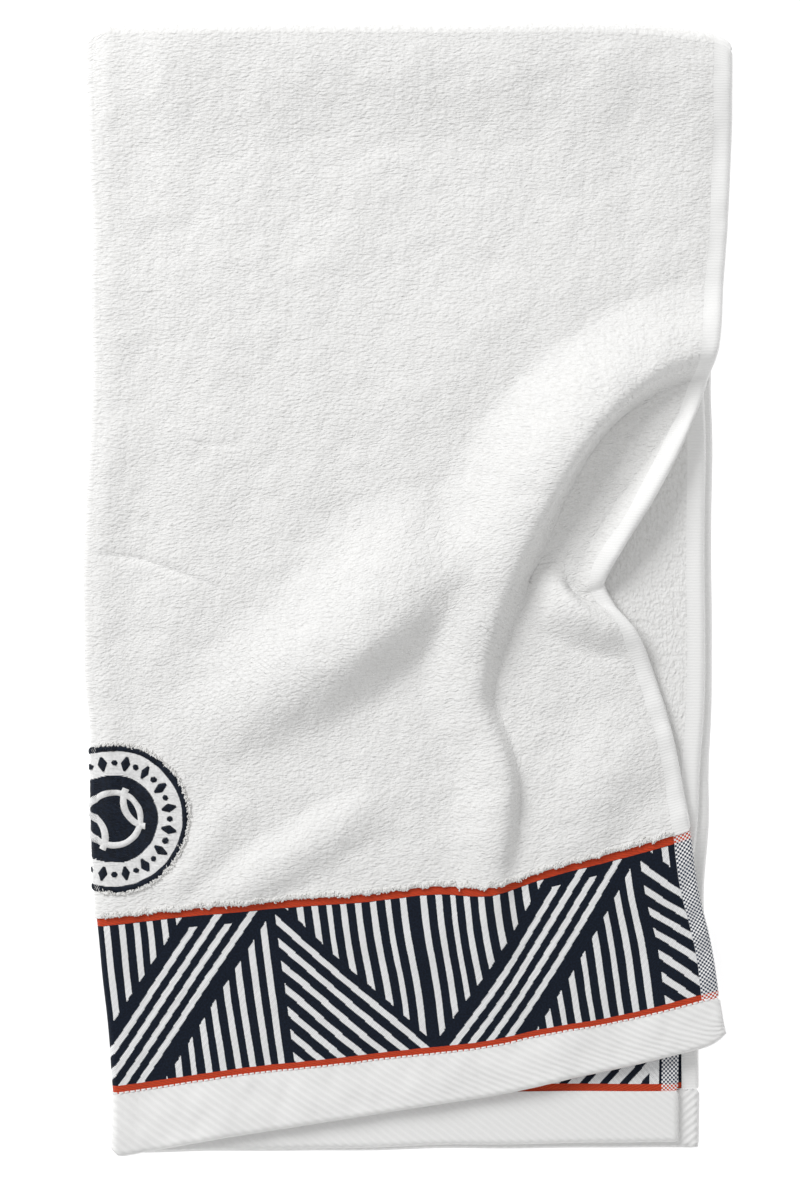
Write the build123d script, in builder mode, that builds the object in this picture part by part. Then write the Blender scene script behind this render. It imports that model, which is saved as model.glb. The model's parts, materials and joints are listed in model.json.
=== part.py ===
from build123d import *
from math import cos, pi, radians, sqrt
import os

# A terry sports towel folded in four. Millimetres, +Z up, +Y towards the crosswise fold, +X towards
# the open side edges, origin under the middle of the folded towel.
#
# The cloth is folded lengthwise first (side fold, along -X) and crosswise second (end fold, along
# +Y), so four layers lie on each other: the back half below (outer layer 1, inner layer 2) and the
# front half above (inner layer 3, outer layer 4). The front half opens about the end fold.

# ---- driving dimensions -------------------------------------------------------------------------
WIDTH = 256.0             # folded towel, from the side fold to the outer side edge
LENGTH = 453.6            # folded towel, from the end fold to the lowest hem corner
TERRY = 3.0               # one layer of looped cloth, loops of both faces included
GAP = 0.3                 # air between two layers
SIDE_HEM = 6.4            # flat hem along each side edge
RED_LINE = 3.2            # red line above and below the woven border
STITCHING = 0.9           # row of stitches that closes the end hem
WOVEN_INSET = 0.8         # the flat weave is this much lower than the loops, on each face
CHECK_INSET = 0.5         # the chequered edge is this much lower than the loops, on each face
STITCH_INSET = 0.6        # the stitches pull the cloth in this much, on each face
HEM_INSET = 0.3           # the folded hems are this much lower than the loops, on each face
CREST_RADIUS = 29.6
CREST_RIM = 2.4
CREST_DISC = 17.6         # radius of the navy centre
CREST_DEPTH = 1.0         # the embroidery is sunk this far into the loops
MOTIF_RADIUS = 10.5
MOTIF_STROKE = 1.6
MOTIF_DEPTH = 0.5

# ---- levels and folds ---------------------------------------------------------------------------
STEP = TERRY + GAP                        # from one layer to the next
MIDDLE = 2 * TERRY + 1.5 * GAP            # height of the plane between the two halves
SIDE_ROLL = TERRY + GAP / 2               # outer radius of each side fold
END_ROLL = MIDDLE                         # outer radius of the end fold
LEFT = -WIDTH / 2
RIGHT = WIDTH / 2
TOP = LENGTH / 2
BOTTOM = -LENGTH / 2
ROLL_START = TOP - END_ROLL               # the layers are flat below this line

# ---- lines across the towel ---------------------------------------------------------------------
# Straight on the hidden layers. On the top layer they sweep up to the right, where the cloth is
# drawn up by the ridge that crosses it. Each line starts on the side fold.
BORDER_TOP = -134.4       # middle of the upper red line at the side fold
BORDER_FOOT = -200.8      # middle of the lower red line at the side fold
UNDER_FOOT = -221.6       # lower edge of layer 3
BACK_FOOT = -224.4        # lower edge of layers 1 and 2
FOLD_KNEE = BORDER_TOP + RED_LINE / 2     # the side fold leans inwards below this line
FOLD_FOOT = LEFT + 9.5                    # x of the side fold at the hem
TOP_LAYER_RISE = [(-43.0, 7.6), (38.0, 16.9), (112.0, 35.4)]
FOOT_RISE = [(-31.0, 10.8), (37.0, 18.4), (117.0, 35.6)]
HEM_RISE = [(-43.0, 12.8), (30.0, 22.0), (126.0, 44.0)]
PAST = 160.0              # cutting outlines run this far past the middle, clear of every edge

# ---- side edges ---------------------------------------------------------------------------------
# The outer edge of the top layer, from the end fold to the hem corner: drawn in to a notch where the
# ridge gathers the cloth.
TOP_EDGE = [
    (RIGHT, ROLL_START),
    (126.0, 148.0),
    (121.9, 98.0),
    (106.0, 53.0),
    (79.0, 12.0),
    (84.0, -9.0),
    (98.7, -41.2),
    (112.0, -99.2),
    (123.1, -165.2),
    (125.9, -182.8),
]
UNDER_EDGE = [(118.0, ROLL_START), (116.5, -157.0), (108.0, BACK_FOOT)]
BACK_EDGE = [(121.0, ROLL_START), (121.0, -157.0), (116.0, BACK_FOOT)]

# ---- the ridge in the top layer: middle of the arch, its half width and its rise -----------------
RIDGE = [
    ((150.0, 103.0), 17.0, 7.0),
    ((112.0, 98.5), 18.0, 11.0),
    ((74.7, 87.2), 21.0, 17.0),
    ((47.9, 57.2), 23.0, 20.0),
    ((17.9, 23.6), 23.0, 19.0),
    ((-5.7, 0.4), 22.0, 15.0),
    ((-28.9, -23.2), 20.0, 10.0),
    ((-52.0, -41.0), 16.0, 5.0),
    ((-74.0, -53.0), 10.0, 1.0),
]
BRANCH = [
    ((14.0, 30.0), 14.0, 12.0),
    ((20.0, -6.0), 15.0, 10.0),
    ((25.0, -36.0), 15.0, 8.0),
    ((37.0, -64.0), 13.0, 5.0),
    ((40.0, -92.0), 9.0, 1.0),
]


def fold_x(y):
    """Outer face of the side fold at y."""
    lean = max(0.0, FOLD_KNEE - y) / (FOLD_KNEE - BOTTOM)
    return LEFT + (FOLD_FOOT - LEFT) * lean


def seam_x(y):
    """Where a flat layer meets the side fold at y."""
    return fold_x(y) + SIDE_ROLL


def level_line(y):
    """A line straight across a hidden layer."""
    return [(seam_x(y), y), (RIGHT + 1, y)]


def drawn_line(y, rise):
    """A line across the top layer that starts at y and climbs to the right."""
    return [(seam_x(y), y)] + [(x, y + up) for x, up in rise]


def cross_line(points):
    """The same line as an edge, run on level past both sides."""
    first, last = points[0], points[-1]
    Line((-PAST, first[1]), first)
    if len(points) == 2:
        Line(first, last)
    else:
        Spline(*points)
    Line(last, (PAST, last[1]))


def zone_plan(plane, upper, lower, edge, inset):
    """One layer's plan between two lines, from the side fold to its side edge less an inset."""
    with BuildSketch(plane) as plan:
        with BuildLine():
            shifted = [(x - inset, y) for x, y in edge]
            side = Spline(*shifted)
            Line(side @ 1, (shifted[-1][0], BOTTOM - 40))
            Line((shifted[-1][0], BOTTOM - 40), (seam_x(BOTTOM - 40), BOTTOM - 40))
            Line((seam_x(BOTTOM - 40), BOTTOM - 40), (seam_x(FOLD_KNEE), FOLD_KNEE))
            Line((seam_x(FOLD_KNEE), FOLD_KNEE), (seam_x(TOP), ROLL_START))
            Line((seam_x(TOP), ROLL_START), side @ 0)
        make_face()
        with BuildSketch(plane, mode=Mode.INTERSECT):
            with BuildLine():
                cross_line(upper)
                Line((PAST, upper[-1][1]), (PAST, lower[-1][1]))
                cross_line(lower)
                Line((-PAST, lower[0][1]), (-PAST, upper[0][1]))
            make_face()
    return plan.sketch


def half_ring(plane, outer, inner):
    """Section of a side fold on a plane across it, open towards +X."""
    with BuildSketch(plane) as ring:
        Circle(outer)
        Circle(inner, mode=Mode.SUBTRACT)
        with Locations((outer, 0)):
            Rectangle(2 * outer, 2 * outer, mode=Mode.SUBTRACT)
    return ring.sketch


def side_fold(middle, upper_y, lower_y, inset):
    """The roll that joins the two layers of one half along the side fold."""
    across = Plane(
        origin=(seam_x(upper_y), upper_y, middle), x_dir=(1, 0, 0), z_dir=(0, -1, 0)
    )
    run = Vector(seam_x(lower_y) - seam_x(upper_y), lower_y - upper_y, 0)
    extrude(
        half_ring(across, SIDE_ROLL - inset, GAP / 2 + inset),
        amount=run.length,
        dir=run.normalized(),
    )


def layer(number):
    """Underside of a layer, counted from the floor."""
    return (number - 1) * STEP


def levels(front):
    """Undersides of a half's outer and inner layer."""
    return (layer(4), layer(3)) if front else (layer(1), layer(2))


def edges_of(front):
    """Side edges of a half's outer and inner layer."""
    return (TOP_EDGE, UNDER_EDGE) if front else (BACK_EDGE, BACK_EDGE)


def folded_zone(front, upper, lower, inset, strip):
    """Solid of one zone of a half: two layers and the side fold between them.

    upper and lower are (line on the outer layer, line on the inner layer).
    """
    outer_level, inner_level = levels(front)
    outer_edge, inner_edge = edges_of(front)
    thickness = TERRY - 2 * inset
    outer_plane = Plane.XY.offset(outer_level + inset)
    inner_plane = Plane.XY.offset(inner_level + inset)
    extrude(zone_plan(outer_plane, upper[0], lower[0], outer_edge, strip), amount=thickness)
    extrude(zone_plan(inner_plane, upper[1], lower[1], inner_edge, strip), amount=thickness)
    middle = (outer_level + inner_level + TERRY) / 2
    side_fold(middle, upper[0][0][1], lower[0][0][1], inset)


def edge_strip(level, edge, upper, lower, inset):
    """Strip of one layer along its side edge, between two lines."""
    plane = Plane.XY.offset(level + inset)
    extrude(zone_plan(plane, upper, lower, edge, 0), amount=TERRY - 2 * inset)
    extrude(
        zone_plan(plane, upper, lower, edge, SIDE_HEM),
        amount=TERRY - 2 * inset,
        mode=Mode.SUBTRACT,
    )


def end_fold(front, sections):
    """Quarter turn of the given XZ sections about the middle of the end fold."""
    turn = Axis((0, ROLL_START, MIDDLE), (-1 if front else 1, 0, 0))
    revolve(sections, axis=turn, revolution_arc=90)
    keep_from = MIDDLE + GAP / 2 if front else MIDDLE - GAP / 2
    split(
        bisect_by=Plane.XY.offset(keep_from),
        keep=Keep.TOP if front else Keep.BOTTOM,
    )


def flat_section(low, x_from, x_to, inset):
    """A layer's section at the start of the end fold."""
    across = Plane(origin=(0, ROLL_START, 0), x_dir=(1, 0, 0), z_dir=(0, -1, 0))
    thickness = TERRY - 2 * inset
    with BuildSketch(across) as section:
        with Locations(((x_from + x_to) / 2, low + TERRY / 2)):
            Rectangle(x_to - x_from, thickness)
    return section.sketch


def arch(stations, shrink):
    """Loft of half ellipses along a ridge, smaller by shrink for the tunnel under it."""
    points = [Vector(*point) for point, _, _ in stations]
    sections = []
    for i, (point, half_width, rise) in enumerate(stations):
        ahead = points[min(i + 1, len(points) - 1)]
        behind = points[max(i - 1, 0)]
        along = (ahead - behind).normalized()
        across = Plane(
            origin=(*point, layer(4)), x_dir=(-along.Y, along.X, 0), z_dir=along
        )
        with BuildSketch(across) as section:
            with BuildLine():
                half = EllipticalCenterArc(
                    (0, 0), half_width - shrink, rise + TERRY - shrink, arc_size=180
                )
                Line(half @ 1, half @ 0)
            make_face()
        sections.append(section.sketch)
    loft(sections=sections)


def ridge_solid(shrink):
    """The main ridge and its branch, as one solid."""
    with BuildPart() as main:
        arch(RIDGE, shrink)
    with BuildPart() as branch:
        arch(BRANCH, shrink)
    with BuildPart() as both:
        add(main.part)
        add(branch.part)
    return both.part


def over_ridge(plan):
    """The part of the raised cloth that stands over a flat plan of the top layer."""
    with BuildPart() as raised:
        extrude(plan, amount=3 * TERRY + max(rise for _, _, rise in RIDGE))
        add(ridge_outside, mode=Mode.INTERSECT)
    return raised.part


# ---- the crest, which wraps round the side fold --------------------------------------------------
CREST_X = seam_x(TOP) + 7.5
CREST_Y = -92.6
FRONT_TOP = layer(4) + TERRY
FOLD_ARC = pi * SIDE_ROLL                 # cloth that lies in the side fold


def half_chord(radius, past_seam):
    """Half the width of a disc along Y, at a distance round the fold from the seam."""
    reach = CREST_X - seam_x(TOP) + past_seam
    return sqrt(max(radius**2 - reach**2, 0))


def wrapped_disc(radius, depth):
    """A disc of embroidery sunk in the outer face of the front half, wrapped round its fold."""
    seam = seam_x(TOP)
    middle = (layer(3) + FRONT_TOP) / 2
    steps = [radians(a) for a in range(0, 181, 20)]
    chords = [(half_chord(radius, a * SIDE_ROLL), middle + SIDE_ROLL * cos(a)) for a in steps]
    kept = [c for c in chords if c[0] > 0]
    tip = [(0, chords[len(kept)][1])] if len(kept) < len(chords) else []
    outline = kept + tip + [(-y, z) for y, z in reversed(kept)]
    mirrored_x = 2 * seam - FOLD_ARC - CREST_X
    with BuildPart() as disc:
        for low, x in ((FRONT_TOP - depth, CREST_X), (layer(3), mirrored_x)):
            if x + radius > seam:      # a small disc may not reach round the fold
                with BuildSketch(Plane.XY.offset(low)):
                    with Locations((x, CREST_Y)):
                        Circle(radius)
                    with Locations((seam + radius, CREST_Y)):
                        Rectangle(2 * radius, 2 * radius, mode=Mode.INTERSECT)
                extrude(amount=depth)
        with BuildPart() as roll:
            across = Plane(
                origin=(seam, CREST_Y + radius, middle), x_dir=(1, 0, 0), z_dir=(0, -1, 0)
            )
            extrude(half_ring(across, SIDE_ROLL, SIDE_ROLL - depth), amount=2 * radius)
            side_view = Plane(
                origin=(seam - 2 * SIDE_ROLL, CREST_Y, 0), x_dir=(0, 1, 0), z_dir=(1, 0, 0)
            )
            with BuildSketch(side_view):
                with BuildLine():
                    Polyline(*outline, close=True)
                make_face()
            extrude(amount=3 * SIDE_ROLL, mode=Mode.INTERSECT)
        add(roll.part)
    return disc.part


def motif():
    """A plain ball with two seams, on the top layer up to the side fold."""
    seam = seam_x(TOP)
    with BuildPart() as ball:
        with BuildSketch(Plane.XY.offset(FRONT_TOP - MOTIF_DEPTH)):
            with Locations((CREST_X, CREST_Y)):
                Circle(MOTIF_RADIUS)
                Circle(MOTIF_RADIUS - MOTIF_STROKE, mode=Mode.SUBTRACT)
            for away in (-13.5, 13.5):
                with BuildSketch(mode=Mode.ADD):
                    with Locations((CREST_X + away, CREST_Y)):
                        Circle(9.5)
                        Circle(9.5 - MOTIF_STROKE, mode=Mode.SUBTRACT)
                    with Locations((CREST_X, CREST_Y)):
                        Circle(MOTIF_RADIUS, mode=Mode.INTERSECT)
            with Locations((seam + MOTIF_RADIUS * 2, CREST_Y)):
                Rectangle(MOTIF_RADIUS * 4, MOTIF_RADIUS * 4, mode=Mode.INTERSECT)
        extrude(amount=MOTIF_DEPTH)
    return ball.part


ridge_outside = ridge_solid(0)
ridge_tunnel = ridge_solid(TERRY)

# ---- lines that part the zones of each half, as (outer layer, inner layer) ------------------------
START = (level_line(ROLL_START), level_line(ROLL_START))
FRONT_LINES = {
    "border": (drawn_line(BORDER_TOP, TOP_LAYER_RISE), level_line(BORDER_TOP)),
    "foot": (drawn_line(BORDER_FOOT, FOOT_RISE), level_line(BORDER_FOOT)),
    "hem": (drawn_line(BOTTOM, HEM_RISE), level_line(UNDER_FOOT)),
}
BACK_LINES = {
    "border": (level_line(BORDER_TOP), level_line(BORDER_TOP)),
    "foot": (level_line(BORDER_FOOT), level_line(BORDER_FOOT)),
    "hem": (level_line(BACK_FOOT), level_line(BACK_FOOT)),
}


def moved(pair, shift):
    """A pair of crossing lines, moved along the towel and still starting on the side fold."""
    result = []
    for (_, start), *others in pair:
        first = (seam_x(start + shift), start + shift)
        result.append([first] + [(x, y + shift) for x, y in others])
    return result


def make_half(front):
    """Every woven zone and hem of one half."""
    half = "front" if front else "back"
    lines = FRONT_LINES if front else BACK_LINES
    red_upper = moved(lines["border"], RED_LINE / 2)
    border_upper = moved(lines["border"], -RED_LINE / 2)
    border_lower = moved(lines["foot"], RED_LINE / 2)
    red_lower = moved(lines["foot"], -RED_LINE / 2)
    hem_upper = moved(lines["foot"], -RED_LINE / 2 - STITCHING)
    outer_level, inner_level = levels(front)
    outer_edge, inner_edge = edges_of(front)

    # looped cloth, from the end fold to the upper red line
    with BuildPart() as turn:
        across = Plane(
            origin=(seam_x(TOP), ROLL_START, (outer_level + inner_level + TERRY) / 2),
            x_dir=(1, 0, 0),
            z_dir=(0, -1, 0),
        )
        sections = [
            flat_section(outer_level, seam_x(TOP), outer_edge[0][0] - SIDE_HEM, 0),
            flat_section(inner_level, seam_x(TOP), inner_edge[0][0] - SIDE_HEM, 0),
            half_ring(across, SIDE_ROLL, GAP / 2),
        ]
        end_fold(front, sections)
    with BuildPart() as terry:
        folded_zone(front, START, red_upper, 0, SIDE_HEM)
        add(turn.part)
        if front:
            plane = Plane.XY.offset(outer_level)
            add(over_ridge(zone_plan(plane, START[0], red_upper[0], outer_edge, SIDE_HEM)))
            add(ridge_tunnel, mode=Mode.SUBTRACT)
            add(wrapped_disc(CREST_RADIUS, CREST_DEPTH), mode=Mode.SUBTRACT)
    terry.part.label = f"{half}_terry"
    export_step(terry.part, f"parts/{half}_terry.step")

    # flat weave: two red lines with the patterned border between them
    woven = {
        "upper_red_line": (red_upper, border_upper),
        "woven_border": (border_upper, border_lower),
        "lower_red_line": (border_lower, red_lower),
    }
    for name, (upper, lower) in woven.items():
        with BuildPart() as zone:
            folded_zone(front, upper, lower, WOVEN_INSET, SIDE_HEM)
        zone.part.label = f"{half}_{name}"
        export_step(zone.part, f"parts/{half}_{name}.step")

    # end hem, closed by a row of stitches
    with BuildPart() as stitches:
        folded_zone(front, red_lower, hem_upper, STITCH_INSET, 0)
    stitches.part.label = f"{half}_hem_stitching"
    export_step(stitches.part, f"parts/{half}_hem_stitching.step")
    with BuildPart() as hem:
        folded_zone(front, hem_upper, lines["hem"], HEM_INSET, 0)
    hem.part.label = f"{half}_end_hem"
    export_step(hem.part, f"parts/{half}_end_hem.step")

    # side hem beside the loops and chequered edge beside the border, on both layers
    layers = (("outer", outer_level, outer_edge), ("inner", inner_level, inner_edge))
    for row, (which, level, edge) in enumerate(layers):
        with BuildPart() as corner:
            end_fold(front, [flat_section(level, edge[0][0] - SIDE_HEM, edge[0][0], HEM_INSET)])
        with BuildPart() as side_hem:
            edge_strip(level, edge, START[row], red_upper[row], HEM_INSET)
            add(corner.part)
            if front and which == "outer":
                plane = Plane.XY.offset(level)
                with BuildPart() as raised:
                    add(over_ridge(zone_plan(plane, START[0], red_upper[0], edge, 0)))
                    extrude(
                        zone_plan(plane, START[0], red_upper[0], edge, SIDE_HEM),
                        amount=PAST,
                        mode=Mode.SUBTRACT,
                    )
                add(raised.part)
                add(ridge_tunnel, mode=Mode.SUBTRACT)
        side_hem.part.label = f"{half}_{which}_side_hem"
        export_step(side_hem.part, f"parts/{half}_{which}_side_hem.step")
        with BuildPart() as check_edge:
            edge_strip(level, edge, red_upper[row], red_lower[row], CHECK_INSET)
        check_edge.part.label = f"{half}_{which}_check_edge"
        export_step(check_edge.part, f"parts/{half}_{which}_check_edge.step")


def make_crest():
    """Embroidered crest: stitched rim, plain ring, centre and motif."""
    disc = wrapped_disc(CREST_RADIUS, CREST_DEPTH)
    inside_rim = wrapped_disc(CREST_RADIUS - CREST_RIM, CREST_DEPTH)
    centre_disc = wrapped_disc(CREST_DISC, CREST_DEPTH)
    ball = motif()

    with BuildPart() as crest_rim:
        add(disc)
        add(inside_rim, mode=Mode.SUBTRACT)
    crest_rim.part.label = "crest_rim"
    export_step(crest_rim.part, "parts/crest_rim.step")

    with BuildPart() as crest_ring:
        add(inside_rim)
        add(centre_disc, mode=Mode.SUBTRACT)
    crest_ring.part.label = "crest_ring"
    export_step(crest_ring.part, "parts/crest_ring.step")

    with BuildPart() as crest_centre:
        add(centre_disc)
        add(ball, mode=Mode.SUBTRACT)
    crest_centre.part.label = "crest_centre"
    export_step(crest_centre.part, "parts/crest_centre.step")

    with BuildPart() as crest_motif:
        add(ball)
    crest_motif.part.label = "crest_motif"
    export_step(crest_motif.part, "parts/crest_motif.step")


os.makedirs("parts", exist_ok=True)
make_half(front=False)
make_half(front=True)
make_crest()
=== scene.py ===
"""Looks of a terry sports towel folded in four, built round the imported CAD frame.

The cloth is described once, by where a point of the flat cloth lies when it is folded: u runs across
the towel from the side fold's seam (0) to the outer side edge, and on round the side fold into the
inner layer (below 0); v runs from the end fold (0) to the end hem. Every piece of cloth, stitch and
loop is placed through that description. Lengths are millimetres until a mesh is made.
"""
import json
import math

import bpy
import numpy as np
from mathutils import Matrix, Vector


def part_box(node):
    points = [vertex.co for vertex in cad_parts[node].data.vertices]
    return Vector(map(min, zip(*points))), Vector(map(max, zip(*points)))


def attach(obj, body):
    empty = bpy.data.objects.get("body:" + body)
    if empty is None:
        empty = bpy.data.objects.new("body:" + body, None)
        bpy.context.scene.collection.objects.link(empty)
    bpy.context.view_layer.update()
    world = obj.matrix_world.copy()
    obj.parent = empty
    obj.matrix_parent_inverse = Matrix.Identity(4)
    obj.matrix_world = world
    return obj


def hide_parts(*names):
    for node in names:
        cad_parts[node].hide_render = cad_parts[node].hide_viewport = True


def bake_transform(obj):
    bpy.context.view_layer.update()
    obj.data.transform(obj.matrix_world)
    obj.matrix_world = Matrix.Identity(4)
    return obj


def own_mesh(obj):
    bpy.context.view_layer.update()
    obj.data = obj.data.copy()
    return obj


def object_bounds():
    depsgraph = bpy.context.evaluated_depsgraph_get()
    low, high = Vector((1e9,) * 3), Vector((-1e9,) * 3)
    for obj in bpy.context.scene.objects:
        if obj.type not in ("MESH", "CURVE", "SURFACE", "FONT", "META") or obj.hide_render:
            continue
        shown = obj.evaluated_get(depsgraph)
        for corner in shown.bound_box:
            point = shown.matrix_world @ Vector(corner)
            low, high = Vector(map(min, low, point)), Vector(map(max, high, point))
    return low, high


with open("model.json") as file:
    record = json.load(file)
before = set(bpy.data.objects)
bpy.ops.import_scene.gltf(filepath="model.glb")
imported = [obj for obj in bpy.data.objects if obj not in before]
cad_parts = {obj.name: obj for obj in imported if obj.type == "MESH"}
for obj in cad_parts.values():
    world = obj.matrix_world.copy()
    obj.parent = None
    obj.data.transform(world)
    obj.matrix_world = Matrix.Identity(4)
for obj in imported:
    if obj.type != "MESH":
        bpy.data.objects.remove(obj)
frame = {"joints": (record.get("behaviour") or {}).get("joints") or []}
cad_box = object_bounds()

MM = 0.001


def frame_box(node):
    """A CAD node's lowest and highest corners, in millimetres."""
    low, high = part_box(node)
    return np.array(low) / MM, np.array(high) / MM


# ---- driving dimensions, from the frame ----------------------------------------------------------
hinge = frame["joints"][0]
towel_low = np.array(cad_box[0]) / MM
LEFT = towel_low[0]
TOP = hinge["pos_m"][1] / MM
BOTTOM = towel_low[1]
MIDDLE = hinge["pos_m"][2] / MM           # height of the plane between the two halves
TERRY = 3.0                               # thickness of the looped cloth
GAP = 2 * (MIDDLE - 2 * TERRY) / 3        # air between two layers
STEP = TERRY + GAP
SIDE_ROLL = TERRY + GAP / 2               # outer radius of the side fold
ROLL_START = TOP - MIDDLE                 # the layers are flat below this line
MID_ROLL = SIDE_ROLL - TERRY / 2          # radius of the cloth's middle in the side fold
FOLD_ARC = math.pi * MID_ROLL             # cloth held in the side fold
SEAM = LEFT + SIDE_ROLL                   # where the flat layers meet the side fold
RED_LINE = 3.2                            # woven lines above and below the border
SIDE_HEM = 6.4
WEAVE = 1.4                               # thickness of the flat weave
HEM = 2.4                                 # thickness of the folded hems
CHECK = 1.8                               # thickness of the chequered edges

UNDER_EDGE = 118.0                        # side edge of the layer under the top one
BACK_EDGE = 121.0                         # side edge of the back half
OUTER_WIDTH = frame_box("front_outer_side_hem")[1][0] - SEAM
INNER_WIDTH = UNDER_EDGE - SEAM
BACK_WIDTH = BACK_EDGE - SEAM
V_BORDER = ROLL_START - frame_box("back_upper_red_line")[0][1] - RED_LINE / 2
V_FOOT = ROLL_START - frame_box("back_lower_red_line")[0][1] - RED_LINE / 2
V_HEM = ROLL_START - BOTTOM
V_TERRY = V_BORDER - RED_LINE / 2         # where the loops end
V_WOVEN = V_BORDER + RED_LINE / 2
V_WOVEN_END = V_FOOT - RED_LINE / 2
V_RED_END = V_FOOT + RED_LINE / 2


# ---- helpers for curves and surfaces -------------------------------------------------------------
def smooth(t):
    """0 to 1 with level ends."""
    t = np.clip(t, 0, 1)
    return t * t * (3 - 2 * t)


def hump(x, width):
    """1 at 0, falling away to either side."""
    return np.exp(-((x / width) ** 2))


def unit(directions):
    """Directions made one long."""
    return directions / np.linalg.norm(directions, axis=-1)[..., None]


def left_hand(heading):
    """Directions a quarter turn to the left of headings in the plane."""
    return np.stack([-heading[:, 1], heading[:, 0]], 1)


def curve_through(points, count):
    """Points evenly spaced in parameter on a Catmull-Rom curve through the given ones."""
    p = np.array(points, float)
    p = np.vstack([2 * p[0] - p[1], p, 2 * p[-1] - p[-2]])
    at = np.linspace(0, len(points) - 1, count)
    i = np.minimum(at.astype(int), len(points) - 2)
    t = (at - i)[:, None]
    a, b, c, d = p[i], p[i + 1], p[i + 2], p[i + 3]
    return 0.5 * (
        2 * b + (c - a) * t + (2 * a - 5 * b + 4 * c - d) * t**2 + (3 * b - a - 3 * c + d) * t**3
    )


def value_along(keys, x):
    """A smooth value at x from a short table of (x, value)."""
    dense = curve_through(keys, 40 * len(keys))
    order = np.argsort(dense[:, 0])
    return np.interp(x, dense[order, 0], dense[order, 1])


def lumps(x, y, size, seed, waves=16):
    """Gentle unevenness between about -1 and 1, from a few plane waves of the given size."""
    rng = np.random.default_rng(seed)
    total = np.zeros_like(x)
    for _ in range(waves):
        angle = rng.uniform(0, 2 * math.pi)
        length = size * rng.uniform(0.7, 1.6)
        phase = rng.uniform(0, 2 * math.pi)
        total += np.sin((x * math.cos(angle) + y * math.sin(angle)) * 2 * math.pi / length + phase)
    return total / math.sqrt(waves)


# ---- how the cloth lies --------------------------------------------------------------------------
# The outer side edge of the top layer, by distance from the end fold along the cloth. The ridge
# draws it in to a notch.
TOP_EDGE = [
    (0, 127.9, ROLL_START),
    (60, 127.6, 161.0),
    (115, 123.2, 106.0),
    (140, 119.0, 83.0),
    (168, 110.2, 61.0),
    (197, 97.6, 38.8),
    (210, 90.6, 28.2),
    (222, 82.6, 17.5),
    (234, 77.4, 8.2),
    (245, 77.6, 0.2),
    (256, 83.0, -9.5),
    (270, 91.0, -20.0),
    (294, 99.6, -41.2),
    (321, 107.0, -67.6),
    (V_BORDER, 111.9, -99.2),
    (V_FOOT, 123.2, -162.9),
    (V_HEM, 126.2, -180.8),
]
# How far the crossing lines sag below straight, by distance from the end fold.
ROW_SAG = [(0, 0), (150, 0), (280, 4.0), (V_BORDER, 7.2), (V_FOOT, 4.6), (V_HEM, 3.6)]
# How much more they sag where the main ridge comes down to the border.
TUCK = [(0, 0), (240, 0), (300, 1.2), (V_BORDER, 3.2), (V_FOOT, 0.6), (V_HEM, 0.4)]
# How far the side fold strays from straight, by height up the towel.
FOLD_STRAY = [(-240, 0.4), (-134, 2.0), (-93, 1.5), (-58, 0.2), (-36, -2.0), (-16, -2.6), (14, -2.0),
              (60, 0.4), (110, 1.2), (170, 0.4), (205, -1.1), (230, -0.4)]
FOLD_KNEE = ROLL_START - V_BORDER + RED_LINE / 2
FOLD_LEAN = 8.2                           # the side fold has come in this far at the hem
UNDER_FOOT, BACK_FOOT = 5.2, 2.4          # the hidden layers' hems stop this far above the bottom
UNDER_DRAW_IN, BACK_DRAW_IN = 10.5, 5.0   # and their side edges come in this far at the hem

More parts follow.
